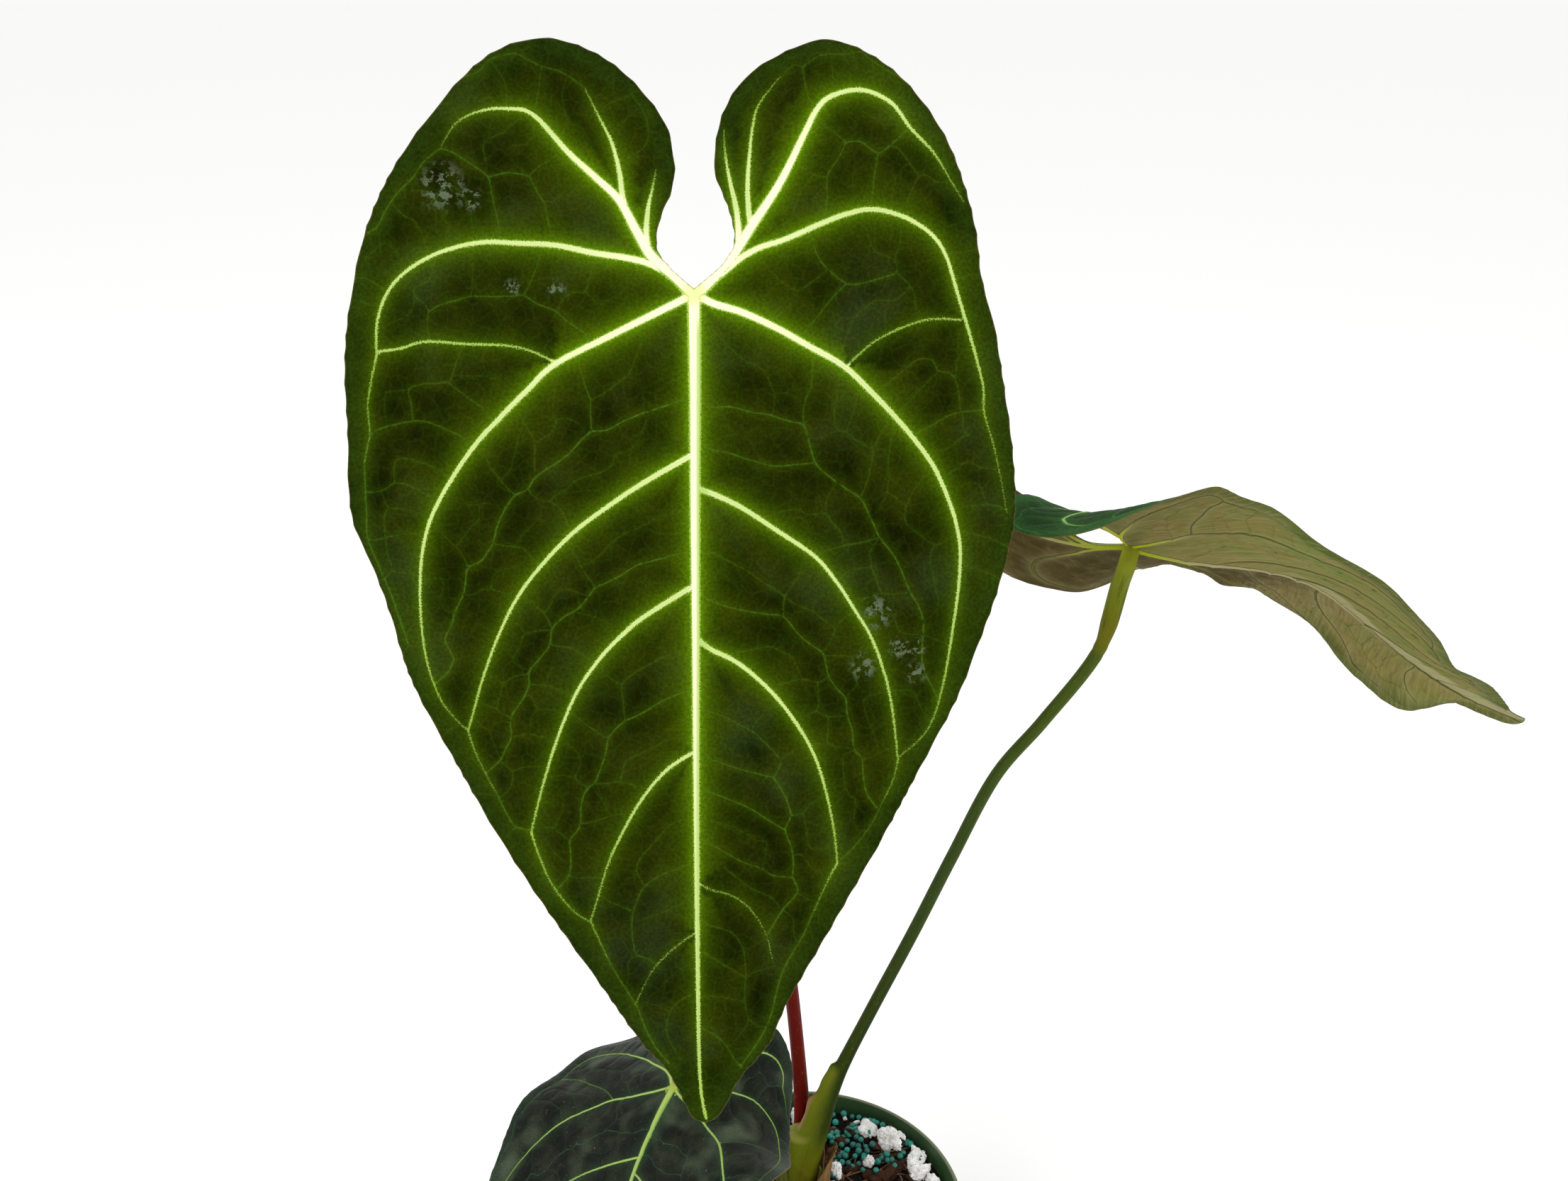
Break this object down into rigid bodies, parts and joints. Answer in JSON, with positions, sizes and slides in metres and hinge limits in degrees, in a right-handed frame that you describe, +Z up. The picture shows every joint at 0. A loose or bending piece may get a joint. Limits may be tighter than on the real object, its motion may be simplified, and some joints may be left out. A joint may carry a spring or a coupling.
{
  "type": "potted anthurium regale",
  "caption": "Potted anthurium regale: large heart-shaped velvet leaves with pale raised ribs on tall stalks, rooted in bark mix in a plain green nursery pot.",
  "frame": {"origin": "middle of the underside of the pot, on the ground plane", "axes": "+Z up along the pot's axis; -Y toward the side that the main leaf's velvet face looks at; +X toward the side leaf"},
  "size_m": [0.3797, 0.2039, 0.5603],
  "materials": {
    "pot_plastic": "satin",
    "velvet_leaf": "matte",
    "leaf_underside": "matte",
    "young_leaf": "satin",
    "red_stalk": "satin",
    "green_stalk": "satin",
    "young_stalk": "satin",
    "stem": "matte",
    "mix": "matte",
    "dry_scale": "matte"
  },
  "bodies": {
    "root": {"pot": "pot_plastic", "main_leaf_blade": "velvet_leaf", "side_leaf_blade": "leaf_underside", "young_leaf_blade": "young_leaf", "main_leaf_stalk": "red_stalk", "side_leaf_stalk": "green_stalk", "young_leaf_stalk": "young_stalk", "stem_and_roots": "stem", "potting_mix": "mix", "papery_scale_1": "dry_scale", "papery_scale_2": "dry_scale", "papery_scale_3": "dry_scale"}
  },
  "joints": []
}
